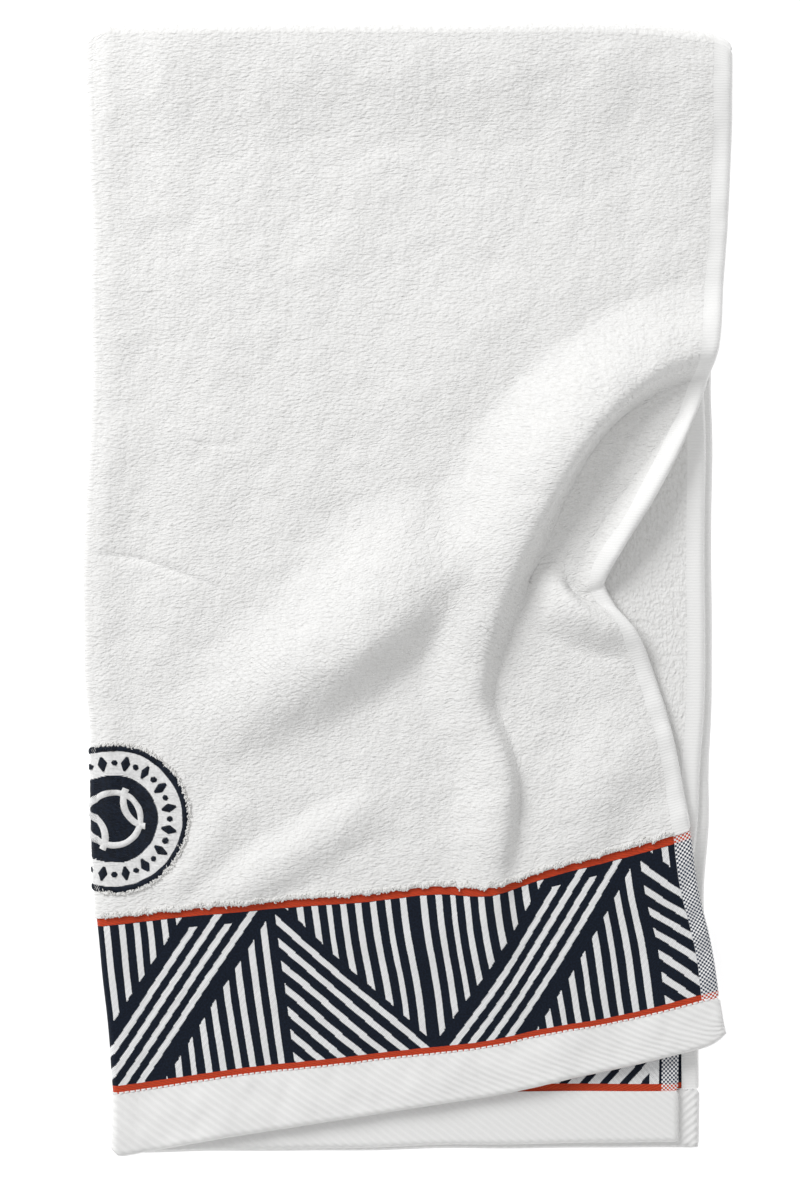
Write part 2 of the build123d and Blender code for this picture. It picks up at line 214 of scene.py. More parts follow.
# Ridges of the top layer: points (x, y), then height, width of the flank on the left hand and on the
# right hand along the path, and how far the crest leans to the left hand.
RIDGES = {
    "main": [
        (140, 97, 8, 13, 26, 1), (112, 95, 10, 13, 28, 2), (93, 88, 13, 13, 30, 4),
        (76, 76, 16, 13, 32, 6), (61, 60, 18, 14, 34, 7), (51, 42, 17, 14, 36, 6),
        (43, 23, 15, 14, 38, 4), (35, 3, 12.5, 14, 38, 3), (29, -17, 10, 12, 32, 2),
        (26, -34, 8, 10, 26, 1), (27, -48, 7, 8, 20, 1), (33, -62, 7, 8, 20, 1),
        (37, -80, 7, 8, 20, 2), (36, -98, 6, 9, 22, 1), (34, -118, 3, 9, 20, 0),
        (36, -150, 1.2, 12, 16, 0), (40, -185, 0, 12, 14, 0),
    ],
    "left_spur": [
        (26, 26, 0, 20, 40, 0), (14, 10, 9, 22, 44, 0), (2, -3, 13, 24, 46, 0),
        (-12, -15, 13.5, 24, 46, 1), (-28, -27, 12, 24, 42, 1), (-46, -39, 9.0, 24, 36, 0),
        (-66, -49, 5.5, 24, 30, 0), (-88, -59, 0, 20, 24, 0),
    ],
    "notch_lip": [
        (56, 9, 0, 8, 10, 0), (58, -3, 6, 7, 11, 3), (66, -12, 8.5, 8, 12, 3),
        (76, -16, 8, 9, 12, 1.5), (88, -19, 5, 10, 12, 0), (100, -24, 2, 10, 12, 0),
        (112, -30, 0, 8, 12, 0),
    ],
    "edge_roll": [
        (124, 78, 0, 8, 8, 0), (112, 60, 6, 8, 9, 0), (99, 41, 8, 8, 9, 1), (88, 26, 8, 7, 9, 2),
        (80, 13, 6, 6, 9, 3), (73, 4, 2, 6, 8, 2), (66, 2, 0, 6, 8, 0),
    ],
    "low_left": [
        (-8, -84, 0, 12, 14, 0), (-24, -94, 3.0, 13, 14, 0), (-44, -106, 4.0, 14, 15, 0),
        (-64, -118, 3.0, 13, 14, 0), (-84, -130, 0.5, 12, 12, 0),
    ],
    "crest_side": [
        (-62, -80, 0, 10, 12, 0), (-76, -96, 1.8, 12, 12, 0), (-88, -112, 1.6, 12, 12, 0),
        (-98, -126, 0, 10, 10, 0),
    ],
    "right_swell": [
        (96, -50, 0, 26, 26, 0), (86, -66, 3.0, 26, 24, 0), (74, -84, 3.2, 22, 24, 0),
        (66, -104, 1.0, 18, 20, 0),
    ],
    "upper_swell": [
        (-20, 60, 0, 40, 40, 0), (10, 78, 1.6, 40, 40, 0), (50, 110, 1.8, 40, 40, 0),
        (90, 140, 0, 40, 40, 0),
    ],
}
CREASES = {
    "left_crease": [
        (-128, 14, 0.5, 2.5, 2.5, 0), (-104, 11, 1.0, 2.5, 3, 0), (-82, 3, 0.8, 2.5, 3, 0),
        (-66, -4, 0, 2, 2, 0),
    ],
    "upper_crease": [
        (-96, 62, 0, 2.5, 2.5, 0), (-80, 57, 0.6, 2.5, 2.5, 0), (-62, 58, 0, 2, 2, 0),
    ],
}


def ridge_at(path, x, y):
    """Height and sideways lean of one ridge at every (x, y)."""
    line = curve_through(path, 24 * len(path))
    left = left_hand(unit(np.gradient(line[:, :2], axis=0)))
    height, lean_x, lean_y = np.zeros(x.size), np.zeros(x.size), np.zeros(x.size)
    spots = np.stack([x.ravel(), y.ravel()], 1)
    reach = line[:, 3:5].max()
    low, high = line[:, :2].min(0) - reach, line[:, :2].max(0) + reach
    near = np.flatnonzero(((spots > low) & (spots < high)).all(1))
    for part in np.array_split(near, max(1, near.size // 4000)):
        away = spots[part][:, None, :] - line[None, :, :2]
        nearest = (away**2).sum(2).argmin(1)
        gap = away[np.arange(part.size), nearest]
        side = (gap * left[nearest]).sum(1)
        distance = np.linalg.norm(gap, axis=1)
        width = np.where(side > 0, line[nearest, 3], line[nearest, 4])
        bell = 0.5 + 0.5 * np.cos(math.pi * np.clip(distance / width, 0, 1))
        height[part] = line[nearest, 2] * bell
        push = line[nearest, 5] * bell
        lean_x[part] = push * left[nearest, 0]
        lean_y[part] = push * left[nearest, 1]
    return height.reshape(x.shape), lean_x.reshape(x.shape), lean_y.reshape(x.shape)


def raise_ridges(x, y, z):
    """Lift the top layer over its ridges."""
    total, lean_x, lean_y = np.zeros(x.shape), np.zeros(x.shape), np.zeros(x.shape)
    for path in RIDGES.values():
        height, dx, dy = ridge_at(path, x, y)
        total += np.maximum(height, 0) ** 2.4
        lean_x += dx
        lean_y += dy
    rise = total ** (1 / 2.4)
    for path in CREASES.values():
        rise -= ridge_at(path, x, y)[0]
    # the cloth stands a little proud along its folds, and dips beside them
    from_roll = ROLL_START - y
    from_fold = x - LEFT
    rise += 5.6 * (1 - smooth((from_roll - 7) / 40)) * (0.25 + 0.75 * smooth(from_fold / 34))
    rise += 1.0 * hump(from_fold, 7) - 0.9 * hump(from_fold - 20, 12)
    uneven = 0.35 * lumps(x, y, 42, 3) + 0.16 * lumps(x, y, 15, 5) + 0.09 * lumps(x, y, 7, 8)
    rise += 1.4 + uneven * smooth((from_roll - 0.5) / 9)
    calm = smooth((from_fold - 1) / 9)
    return x + lean_x, y + lean_y, z + rise * calm


def fold_lean(y):
    """How far the side fold has come in at y."""
    return FOLD_LEAN * np.clip((FOLD_KNEE - y) / 70, 0, 1)


def settle(x, y):
    """Small strays of the whole stack: a wavering side fold and a softened corner."""
    near_fold = hump(x - LEFT, 45)
    x = x + value_along(FOLD_STRAY, y) * near_fold
    drop = 4.6 * smooth((x - 78) / 50) ** 1.5 * hump(TOP - y, 26)
    near_top = hump(TOP - y, 12)
    drop += 5.5 * np.clip(1 - (x - LEFT) / 7, 0, 1) ** 2 * near_top
    drop += 3.5 * np.clip(1 - (-LEFT - x) / 8, 0, 1) ** 2 * near_top
    near_hem = hump(y - BOTTOM, 9)
    drop -= 3.2 * np.clip(1 - (x - LEFT - FOLD_LEAN) / 7, 0, 1) ** 2 * near_hem
    drop -= 3.0 * np.clip((x - 118) / 9, 0, 1) ** 2 * hump(y + 182, 8)
    dip = 0.35 * lumps(x, y, 55, 21)
    return x + dip, y - drop + dip


def top_layer(u, v):
    """The front half's outer layer, with its ridges."""
    left_y = ROLL_START - v
    left_x = SEAM + fold_lean(left_y)
    edge = np.array(TOP_EDGE)
    right_x = value_along(edge[:, [0, 1]], v)
    right_y = value_along(edge[:, [0, 2]], v)
    t = u / OUTER_WIDTH
    x = left_x + (right_x - left_x) * t
    y = left_y + (right_y - left_y) * t
    y = y - value_along(ROW_SAG, v) * np.sin(math.pi * np.clip(t, 0, 1) ** 1.6)
    y = y - value_along(TUCK, v) * hump(x - 32, 17)
    return raise_ridges(x, y, np.full(x.shape, 3 * STEP + TERRY / 2))


def hidden_layer(u, v, width, foot, draw_in, level):
    """A flat layer whose hem ends at foot and whose side edge is drawn in towards it."""
    past = np.maximum(0, v - V_FOOT) / (V_HEM - V_FOOT)
    y = ROLL_START - v + past * ((foot - BOTTOM) * (0.25 + 0.75 * u / width))
    left_x = SEAM + fold_lean(y)
    right_x = SEAM + width - draw_in * smooth((ROLL_START - y - 250) / 180)
    x = left_x + (right_x - left_x) * u / width
    return x, y, np.full(x.shape, level + TERRY / 2)


def half_surface(front, u, v, settled=True):
    """Middle of one half's cloth. The back half lies upside down under the front half."""
    inner_width = INNER_WIDTH if front else BACK_WIDTH
    foot = BOTTOM + (UNDER_FOOT if front else BACK_FOOT)
    draw_in = UNDER_DRAW_IN if front else BACK_DRAW_IN
    if front:
        flat = top_layer(np.maximum(u, 0), v)
    else:
        flat = hidden_layer(np.maximum(u, 0), v, BACK_WIDTH, foot, draw_in, 3 * STEP)
    under = hidden_layer(np.maximum(-u - FOLD_ARC, 0), v, inner_width, foot, draw_in, 2 * STEP)
    turn = np.clip(-u / MID_ROLL, 0, math.pi)
    share = turn / math.pi
    swell = (flat[2] - under[2]) / 2
    roll = (
        flat[0] * (1 - share) + under[0] * share - MID_ROLL * np.sin(turn),
        flat[1] * (1 - share) + under[1] * share,
        under[2] + swell * (1 + np.cos(turn)),
    )
    x, y, z = (
        np.where(u >= 0, a, np.where(u > -FOLD_ARC, b, c)) for a, b, c in zip(flat, roll, under)
    )
    if not front:
        z = 2 * MIDDLE - z
    if settled:
        x, y = settle(x, y)
    return np.stack([x, y, z], -1)


def end_fold_surface(u, turn):
    """Middle of the cloth round the end fold: turn runs from 0 on the front half to pi."""
    level = np.zeros(u.shape)
    past = np.maximum(-u - FOLD_ARC, 0)
    u_back = np.where(u > 0, u * BACK_WIDTH / OUTER_WIDTH, u)
    u_back = np.where(past > 0, -FOLD_ARC - past * BACK_WIDTH / INNER_WIDTH, u_back)
    front = half_surface(True, u, level, settled=False)
    back = half_surface(False, u_back, level, settled=False)
    share = smooth(turn / math.pi)
    radius = (front[..., 2] - MIDDLE) * (1 - share) + (MIDDLE - back[..., 2]) * share
    x = front[..., 0] * (1 - share) + back[..., 0] * share
    x, y = settle(x, ROLL_START + np.minimum(radius, MIDDLE - TERRY / 2) * np.sin(turn))
    return np.stack([x, y, MIDDLE + radius * np.cos(turn)], -1)


def outward(surface, a, b, reach, side):
    """Unit directions out of a surface(a, b), the same for pieces that share a line of it."""
    along_a = surface(a + reach, b) - surface(a - reach, b)
    along_b = surface(a, b + reach) - surface(a, b - reach)
    return unit(np.cross(along_b, along_a) * side)


def half_outward(front, u, v):
    return outward(lambda a, b: half_surface(front, a, b), u, v, 0.25, 1 if front else -1)


def place(front, u, v, lift):
    """Points on a half's outward face at (u, v), raised by lift."""
    u, v = np.asarray(u, float), np.asarray(v, float)
    rise = TERRY / 2 + np.asarray(lift)
    return half_surface(front, u, v) + half_outward(front, u, v) * rise[..., None]


# ---- meshes --------------------------------------------------------------------------------------
def new_object(name, vertices, faces, materials, smooth_faces=True):
    """A mesh object at the origin from millimetre points."""
    mesh = bpy.data.meshes.new(name)
    mesh.from_pydata((np.asarray(vertices) * MM).tolist(), [], faces)
    for material in materials:
        mesh.materials.append(material)
    mesh.polygons.foreach_set("use_smooth", [smooth_faces] * len(mesh.polygons))
    return add_object(name, mesh)


def add_object(name, data):
    """A mesh, lamp or camera put into the scene."""
    thing = bpy.data.objects.new(name, data)
    bpy.context.collection.objects.link(thing)
    return thing


def on_half(piece, front):
    """Put a piece on the body of its half."""
    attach(piece, "front_half" if front else "back_half")


def thick_cloth(name, middle, out, u, v, thickness, materials, winding=1, rounded=()):
    """A closed sheet of cloth round its middle surface.

    middle is rows by columns of points, out the outward directions there, and u and v the flat
    cloth under them. The second material, if there is one, goes on the inward face. rounded names
    the free edges, which bulge: "start" and "end" along the cloth, "low" and "high" across it. The
    others are square and meet more cloth.
    """
    rows, columns = middle.shape[:2]
    half = np.broadcast_to(thickness, middle.shape[:2]) / 2
    outer = middle + out * half[..., None]
    inner = middle - out * half[..., None]
    ring = [(0, j) for j in range(columns)]
    ring += [(i, columns - 1) for i in range(1, rows)]
    ring += [(rows - 1, j) for j in range(columns - 2, -1, -1)]
    ring += [(i, 0) for i in range(rows - 2, 0, -1)]
    ring_i, ring_j = np.array(ring).T
    next_i, next_j = np.clip(ring_i, 1, rows - 2), np.clip(ring_j, 1, columns - 2)
    away = unit(middle[ring_i, ring_j] - middle[next_i, next_j])
    bulge = np.zeros((rows, columns))
    bulge[0, :] = "start" in rounded
    bulge[-1, :] = "end" in rounded
    corners = np.ix_([0, -1], [0, -1])
    ends = bulge[corners]
    bulge[:, 0] = "low" in rounded
    bulge[:, -1] = "high" in rounded
    bulge[corners] = np.minimum(bulge[corners], ends)
    free = bulge[ring_i, ring_j]
    rim = middle[ring_i, ring_j] + away * (free * half[ring_i, ring_j] * 0.9)[:, None]
    vertices = np.vstack([outer.reshape(-1, 3), inner.reshape(-1, 3), rim])

    number = np.arange(rows * columns).reshape(rows, columns)
    quads = np.stack([number[:-1, :-1], number[1:, :-1], number[1:, 1:], number[:-1, 1:]], -1)
    quads = quads.reshape(-1, 4)
    top = quads if winding > 0 else quads[:, ::-1]
    bottom = top[:, ::-1] + rows * columns
    around = number[ring_i, ring_j]
    after = np.roll(around, -1)
    edge = np.arange(len(ring)) + 2 * rows * columns
    edge_after = np.roll(edge, -1)
    upper = np.stack([around, after, edge_after, edge], -1)
    lower = np.stack([edge, edge_after, after + rows * columns, around + rows * columns], -1)
    walls = np.vstack([upper, lower])
    if winding < 0:
        walls = walls[:, ::-1]
    faces = np.vstack([top, bottom, walls])
    piece = new_object(name, vertices, faces.tolist(), materials)

    flat = np.stack([u, v], -1)
    beyond = unit(flat[ring_i, ring_j] - flat[next_i, next_j])
    beyond = flat[ring_i, ring_j] + beyond * half[ring_i, ring_j][:, None]
    flat = flat.reshape(-1, 2)
    flat = np.vstack([flat, flat, beyond]) * MM
    layer = piece.data.uv_layers.new(name="cloth")
    loops = np.empty(len(piece.data.loops), int)
    piece.data.loops.foreach_get("vertex_index", loops)
    layer.data.foreach_set("uv", flat[loops].ravel())
    if len(materials) > 1:
        which = np.zeros(len(faces), int)
        which[len(top):len(top) + len(bottom)] = 1
        piece.data.polygons.foreach_set("material_index", which)
    # square walls meet the next piece of cloth, and are kept out of the shading of the faces
    square = np.minimum(free, np.roll(free, -1)) < 0.5
    shaded = np.ones(len(faces), bool)
    shaded[len(top) + len(bottom):] = np.tile(~square, 2)
    piece.data.polygons.foreach_set("use_smooth", shaded)
    arrises = np.stack([around, after], 1)[square]
    arrises = np.sort(np.vstack([arrises, arrises + rows * columns]), axis=1)
    edges = np.empty(2 * len(piece.data.edges), int)
    piece.data.edges.foreach_get("vertices", edges)
    edges = np.sort(edges.reshape(-1, 2), axis=1)
    key = np.array([len(vertices), 1])
    piece.data.edges.foreach_set("use_edge_sharp", np.isin(edges @ key, arrises @ key))
    return piece


# cells of the cloth, shared by pieces that meet so that their edges run together
FINE_STEP, COARSE_STEP = 1.45, 2.5
WOVEN_STEP, NARROW_STEP = 1.6, 1.2
END_FOLD_STEP, END_FOLD_ROWS = 1.6, 25


def across_samples(u_from, u_to, step):
    """Distances across the cloth, closer together round the side fold."""
    marks = [u_from]
    for stop, spacing in ((-FOLD_ARC, step), (0.0, MID_ROLL * math.pi / 12), (u_to, step)):
        stop = min(max(stop, u_from), u_to)
        if stop > marks[-1]:
            count = max(1, round((stop - marks[-1]) / spacing))
            marks += list(np.linspace(marks[-1], stop, count + 1)[1:])
    return np.array(marks)


def hem_thickness(u, side):
    """A side hem is as thick as the pile where it meets it and thins to its free edge."""
    if side == "high":
        across = (u - u.min()) / (u.max() - u.min())
    else:
        across = (u.max() - u) / (u.max() - u.min())
    valley = hump(across - 0.25, 0.2)
    return TERRY - 0.5 * valley * smooth(across * 8) - (TERRY - HEM) * smooth((across - 0.3) / 0.7)


def zone_piece(name, front, u_range, v_range, thickness, materials, step, rounded=()):
    """One zone of a half's cloth as a thick sheet. thickness None is that of a side hem."""
    u = across_samples(*u_range, step)
    v = np.linspace(*v_range, max(3, round((v_range[1] - v_range[0]) / step) + 1))
    grid_v, grid_u = np.meshgrid(v, u, indexing="ij")
    middle = half_surface(front, grid_u, grid_v)
    out = half_outward(front, grid_u, grid_v)
    if thickness is None:
        thickness = hem_thickness(grid_u, rounded[0])
    winding = 1 if front else -1
    piece = thick_cloth(name, middle, out, grid_u, grid_v, thickness, materials, winding, rounded)
    on_half(piece, front)
    return piece


def end_fold_piece(name, u_range, thickness, materials, step, rounded=()):
    """Cloth round the end fold, between the two halves."""
    u = across_samples(*u_range, step)
    turn = np.linspace(0, math.pi, END_FOLD_ROWS)
    grid_turn, grid_u = np.meshgrid(turn, u, indexing="ij")
    middle = end_fold_surface(grid_u, grid_turn)
    out = outward(end_fold_surface, grid_u, grid_turn, 0.02, -1)
    along = -grid_turn * (MIDDLE - TERRY / 2)
    if thickness is None:
        thickness = hem_thickness(grid_u, rounded[0])
    piece = thick_cloth(name, middle, out, grid_u, along, thickness, materials, -1, rounded)
    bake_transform(piece)
    share = smooth(1 - grid_turn / math.pi)
    rows, columns = share.shape
    return piece


def end_fold_area(u_range):
    """How much cloth goes round the end fold, over a span of u."""
    turn = np.linspace(0, math.pi, END_FOLD_ROWS)
    turn, u = np.meshgrid(turn, across_samples(*u_range, END_FOLD_STEP), indexing="ij")
    at = end_fold_surface(u, turn)
    corners = np.cross(at[1:, 1:] - at[:-1, :-1], at[1:, :-1] - at[:-1, 1:])
    return np.linalg.norm(corners, axis=-1).sum() / 2


# ---- threads and loops ---------------------------------------------------------------------------
def thread_tree():
    """Geometry Nodes: turns every run of edges into a round thread."""
    tree = bpy.data.node_groups.new("threads", "GeometryNodeTree")
    tree.is_modifier = True
    sockets = {"Geometry": "Geometry", "Thread Radius": "Float", "Thread Sides": "Int",
               "Finish": "Material"}
    keys = [
        tree.interface.new_socket(name, in_out="INPUT", socket_type="NodeSocket" + kind).identifier
        for name, kind in sockets.items()
    ]
    tree.interface.new_socket("Geometry", in_out="OUTPUT", socket_type="NodeSocketGeometry")
    start, curve, profile, sweep, shade, realize, paint, end = (
        tree.nodes.new(kind) for kind in (
            "NodeGroupInput", "GeometryNodeMeshToCurve", "GeometryNodeCurvePrimitiveCircle",
            "GeometryNodeCurveToMesh", "GeometryNodeSetShadeSmooth",
            "GeometryNodeRealizeInstances", "GeometryNodeSetMaterial", "NodeGroupOutput",
        )
    )
    sweep.inputs["Fill Caps"].default_value = True
    for source, output, target, socket in (
        (start, "Geometry", curve, "Mesh"),
        (start, "Thread Radius", profile, "Radius"),
        (start, "Thread Sides", profile, "Resolution"),
        (curve, "Curve", sweep, "Curve"),
        (profile, "Curve", sweep, "Profile Curve"),
        (sweep, "Mesh", shade, "Geometry"),
        (shade, "Geometry", realize, "Geometry"),
        (realize, "Geometry", paint, "Geometry"),
        (start, "Finish", paint, "Material"),
        (paint, "Geometry", end, "Geometry"),
    ):
        tree.links.new(source.outputs[output], target.inputs[socket])
    return tree, *keys[1:]


THREADS, THREAD_RADIUS, THREAD_SIDES, THREAD_FINISH = thread_tree()


def threads(name, runs, radius, material, sides=6):
    """Round threads along runs, an array of stitches by points by 3, in millimetres."""
    count, points = runs.shape[:2]
    first = np.arange(count)[:, None] * points + np.arange(points - 1)[None, :]
    edges = np.stack([first, first + 1], -1).reshape(-1, 2)
    mesh = bpy.data.meshes.new(name + "_runs")
    mesh.from_pydata((runs.reshape(-1, 3) * MM).tolist(), edges.tolist(), [])
    holder = add_object(name + "_runs", mesh)
    modifier = holder.modifiers.new("threads", "NODES")
    modifier.node_group = THREADS
    modifier[THREAD_RADIUS] = radius * MM
    modifier[THREAD_SIDES] = sides
    modifier[THREAD_FINISH] = material
    evaluated = holder.evaluated_get(bpy.context.evaluated_depsgraph_get())
    made = bpy.data.meshes.new_from_object(evaluated)
    made.name = name
    bpy.data.objects.remove(holder)
    bpy.data.meshes.remove(mesh)
    return add_object(name, made)


def stitches(name, front, start, end, length, pitch, radius, material, lift=0.0):
    """A row of running stitches on the outward face, from (u, v) start to end."""
    start, end = np.array(start, float), np.array(end, float)
    total = np.linalg.norm(end - start)
    count = int(total / pitch)
    middles = (np.arange(count) + 0.5) * pitch / total
    along = np.linspace(-0.5, 0.5, 6) * length / total
    at = middles[:, None] + along[None, :]
    u = start[0] + (end[0] - start[0]) * at
    v = start[1] + (end[1] - start[1]) * at
    arch = np.sqrt(np.maximum(0, 1 - (2 * np.linspace(-0.5, 0.5, 6)) ** 2))
    points = place(front, u, v, lift - radius * 1.4 + radius * 1.8 * arch[None, :] + 0 * u)
    piece = threads(name, points, radius, material)
    on_half(piece, front)
    return piece


def loops_at(name, points, out, heading, height, width, radius, material, seed, sides=4):
    """Terry loops standing on given points: small arches that lean at random."""
    rng = np.random.default_rng(seed)
    count = len(points)
    swing = rng.uniform(-1.0, 1.0, count)
    across = unit(np.cross(out, heading))
    flat = heading * np.cos(swing)[:, None] + across * np.sin(swing)[:, None]
    lean = across * rng.normal(0, 0.45, count)[:, None] + heading * rng.normal(0, 0.35, count)[:, None]
    size = rng.uniform(0.75, 1.25, count)
    turns = np.linspace(0, math.pi, 6)
    runs = points[:, None, :] + (
        flat[:, None, :] * (np.cos(turns) * width / 2)[None, :, None]
        + (out + lean)[:, None, :] * (np.sin(turns) * height)[None, :, None]
    ) * size[:, None, None]
    return threads(name, runs, radius, material, sides)


# ---- materials -----------------------------------------------------------------------------------
class Value:
    """A socket in a sum: every operation on it adds a Math node to its tree."""

    def __init__(self, nodes, socket):
        self.nodes, self.socket = nodes, socket

    def __add__(self, other):
        return self.nodes.math("ADD", self, other)

    def __sub__(self, other):
        return self.nodes.math("SUBTRACT", self, other)

    def __rsub__(self, other):
        return self.nodes.math("SUBTRACT", other, self)

    def __mul__(self, other):
        return self.nodes.math("MULTIPLY", self, other)

    def __truediv__(self, other):
        return self.nodes.math("DIVIDE", self, other)

    def __gt__(self, other):
        return self.nodes.math("GREATER_THAN", self, other)

    def __lt__(self, other):
        return self.nodes.math("LESS_THAN", self, other)

    def __abs__(self):
        return self.nodes.math("ABSOLUTE", self)


class Nodes:
    """Short hand for adding nodes to one tree. Inputs may be numbers, sockets or Values."""

    def __init__(self, tree):
        self.tree = tree

    def add(self, kind, settings=None, **inputs):
        node = self.tree.nodes.new(kind)
        for key, value in (settings or {}).items():
            setattr(node, key, value)
        for key, value in inputs.items():
            self.join(value, node.inputs[key.replace("_", " ")])
        return node

    def join(self, value, socket):
        if isinstance(value, Value):
            value = value.socket
        if isinstance(value, bpy.types.NodeSocket):
            self.tree.links.new(value, socket)
        else:
            socket.default_value = value

    def math(self, operation, *values):
        node = self.add("ShaderNodeMath", {"operation": operation})
        for value, socket in zip(values, node.inputs):
            self.join(value, socket)
        return Value(self, node.outputs[0])

    def mix(self, share, a, b):
        """A colour between a and b."""
        node = self.add("ShaderNodeMix", {"data_type": "RGBA"})
        for value, socket in ((share, "Factor"), (a, "A"), (b, "B")):
            self.join(value, node.inputs[socket])
        return node.outputs["Result"]

    def stripe(self, x, pitch, width):
        """1 inside stripes of this width centred on whole pitches, with hard edges."""
        return self.math("PINGPONG", x, pitch / 2) < width / 2

    def chain(self, operation, values):
        """One operation taken through all the values in turn."""
        result = values[0]
        for value in values[1:]:
            result = self.math(operation, result, value)
        return result

    def both(self, *values):
        return self.chain("MULTIPLY", values)

    def either(self, *values):
        return self.chain("MAXIMUM", values)

    def sine(self, x, pitch):
        """A wave of this pitch."""
        return self.math("SINE", x * (2 * math.pi / pitch))

    def noise(self, vector, scale, detail):
        """Soft random values over a vector."""
        node = self.add("ShaderNodeTexNoise", Vector=vector, Scale=scale, Detail=detail)
        return Value(self, node.outputs["Fac"])

    def ramp(self, value, low, high):
        """0 below low, 1 above high."""
        node = self.add("ShaderNodeMapRange", {"interpolation_type": "SMOOTHSTEP"}, Value=value,
                        From_Min=low, From_Max=high)
        return Value(self, node.outputs[0])


def colour(red, green, blue):
    return (red, green, blue, 1.0)


NAVY = colour(0.0030, 0.0060, 0.0135)
NAVY_LIT = colour(0.0072, 0.0140, 0.0300)
NAVY_WORN = colour(0.035, 0.05, 0.085)
WHITE_YARN = colour(0.95, 0.953, 0.957)
# white yarn darkened as painted shade, for the grooves of its twist
WHITE_YARN_PAINTED_SHADE = colour(0.83, 0.84, 0.855)
RED_YARN = colour(0.60, 0.054, 0.012)
# red yarn darkened as painted shade, for the troughs of the red weave's ribs
RED_YARN_PAINTED_SHADE = colour(0.42, 0.034, 0.009)
COTTON = colour(0.873, 0.870, 0.861)
# cotton darkened as painted shade, for the hollows between the terry loops
COTTON_PAINTED_SHADE = colour(0.737, 0.728, 0.708)
HEM_COTTON = colour(0.94, 0.938, 0.93)
LOOP_DEEP = colour(0.74, 0.73, 0.71)
THREAD_WHITE, THREAD_DEEP = colour(0.90, 0.90, 0.90), colour(0.80, 0.80, 0.80)


def group_tree(name, inputs, outputs):
    """An empty shader group with named value, vector or colour sockets."""
    tree = bpy.data.node_groups.new(name, "ShaderNodeTree")
    kinds = {"value": "NodeSocketFloat", "vector": "NodeSocketVector", "colour": "NodeSocketColor"}
    for socket, kind in inputs:
        tree.interface.new_socket(socket, in_out="INPUT", socket_type=kinds[kind])
    for socket, kind in outputs:
        tree.interface.new_socket(socket, in_out="OUTPUT", socket_type=kinds[kind])
    return tree, Nodes(tree), tree.nodes.new("NodeGroupInput"), tree.nodes.new("NodeGroupOutput")


def cloth_place_group():
    """Millimetres across and along the flat cloth, from the piece's own map."""
    tree, n, _, out = group_tree("cloth_place", [], [("Across", "value"), ("Along", "value"),
                                                     ("Place", "vector")])
    flat = n.add("ShaderNodeUVMap", {"uv_map": "cloth"})
    scale = n.add("ShaderNodeVectorMath", {"operation": "SCALE"}, Vector=flat.outputs["UV"])
    scale.inputs["Scale"].default_value = 1000.0
    split = n.add("ShaderNodeSeparateXYZ", Vector=scale.outputs["Vector"])
    n.join(split.outputs["X"], out.inputs["Across"])
    n.join(split.outputs["Y"], out.inputs["Along"])
    n.join(scale.outputs["Vector"], out.inputs["Place"])
    return tree


def loop_group():
    """Rows of terry loops: height of the pile and how deep between loops a point lies."""
    tree, n, inputs, out = group_tree(
        "terry_loops",
        [("Place", "vector"), ("Loop Width", "value"), ("Row Pitch", "value"), ("Waver", "value")],
        [("Height", "value"), ("Depth", "value")],
    )
    drift = n.add("ShaderNodeTexNoise", Vector=inputs.outputs["Place"], Scale=0.16, Detail=2.0)
    centred = n.add("ShaderNodeVectorMath", {"operation": "SUBTRACT"}, Vector=drift.outputs["Color"])
    centred.inputs[1].default_value = (0.5, 0.5, 0.5)
    wave = n.add("ShaderNodeVectorMath", {"operation": "SCALE"}, Vector=centred.outputs["Vector"])
    n.join(inputs.outputs["Waver"], wave.inputs["Scale"])
    moved = n.add("ShaderNodeVectorMath", {"operation": "ADD"}, Vector=inputs.outputs["Place"])
    n.join(wave.outputs["Vector"], moved.inputs[1])
    split = n.add("ShaderNodeSeparateXYZ", Vector=moved.outputs["Vector"])
    across = Value(n, split.outputs["X"]) / inputs.outputs["Loop Width"]
    along = Value(n, split.outputs["Y"]) / inputs.outputs["Row Pitch"]
    cell = n.add("ShaderNodeCombineXYZ", X=across, Y=along)
    loops = n.add("ShaderNodeTexVoronoi", {"feature": "SMOOTH_F1", "voronoi_dimensions": "2D"},
                  Vector=cell.outputs["Vector"], Scale=1.0, Randomness=0.75, Smoothness=0.5)
    fibre = n.noise(cell.outputs["Vector"], 0.8, 3.0)
    clump = n.noise(inputs.outputs["Place"], 0.22, 3.0)
    away = Value(n, loops.outputs["Distance"])
    n.join((1.0 - away * 1.25) * 0.55 + fibre * 2.6 + clump, out.inputs["Height"])
    # Depth is the mask for the painted shade between the loops
    n.join(n.ramp(away, 0.38, 0.85), out.inputs["Depth"])
    return tree


def weave_group():
    """Flat weave: fine crossing yarns as a height."""
    tree, n, inputs, out = group_tree(
        "flat_weave",
        [("Across", "value"), ("Along", "value"), ("Yarn", "value")],
        [("Height", "value")],
    )
    turns = n.math("DIVIDE", 2 * math.pi, inputs.outputs["Yarn"])
    warp = n.math("SINE", turns * inputs.outputs["Across"])
    weft = n.math("SINE", turns * inputs.outputs["Along"])
    n.join(warp * weft, out.inputs["Height"])
    return tree


CLOTH_PLACE = cloth_place_group()
LOOPS = loop_group()
WEAVE_YARNS = weave_group()


def place_group(n, tree, **inputs):
    node = n.add("ShaderNodeGroup", {"node_tree": tree})
    for key, value in inputs.items():
        n.join(value, node.inputs[key.replace("_", " ")])
    return node


def cloth_place(n):
    """Distances across and along the cloth, and both as a vector."""
    cloth = place_group(n, CLOTH_PLACE)
    across, along = Value(n, cloth.outputs["Across"]), Value(n, cloth.outputs["Along"])
    return across, along, cloth.outputs["Place"]


def weave_height(n, across, along, yarn):
    weave = place_group(n, WEAVE_YARNS, Across=across, Along=along, Yarn=yarn)
    return Value(n, weave.outputs["Height"])


